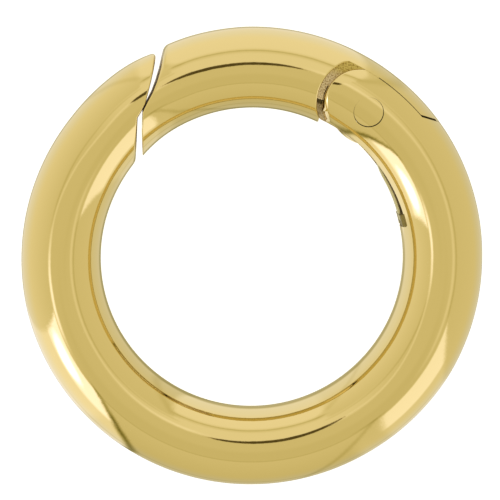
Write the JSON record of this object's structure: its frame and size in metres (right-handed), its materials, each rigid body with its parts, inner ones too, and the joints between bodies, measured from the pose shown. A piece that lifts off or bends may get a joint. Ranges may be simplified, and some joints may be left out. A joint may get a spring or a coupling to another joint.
{
  "type": "round spring-gate ring clasp",
  "caption": "Round ring clasp of polished yellow metal. Its curved gate swings inward on a pin to let a link in, and a spring shuts it against the ring's other end.",
  "frame": {"origin": "centre of the closed ring, on the mid-plane of its wire", "axes": "+Z along the ring's axis, towards the viewer of the picture; +Y from the centre to the gate's middle, up in the picture; +X to the picture's right, the side of the hinge"},
  "size_m": [0.018, 0.018, 0.003],
  "materials": {
    "polished_gold": "polished yellow gold",
    "spring_strip": "rolled spring strip, unpolished"
  },
  "bodies": {
    "ring": {"body": "polished_gold", "hinge_pin": "polished_gold", "leaf_spring": "spring_strip"},
    "gate": {"gate": "polished_gold"}
  },
  "joints": [
    {"name": "gate_hinge", "type": "hinge", "parent": "ring", "child": "gate", "pos_m": [0.00432, 0.00582, 0], "axis": [0, 0, 1], "range_deg": [0, 20], "stiffness_Nm_per_rad": 0.0005, "springref_deg": -22.92, "deforming": ["leaf_spring"]}
  ]
}
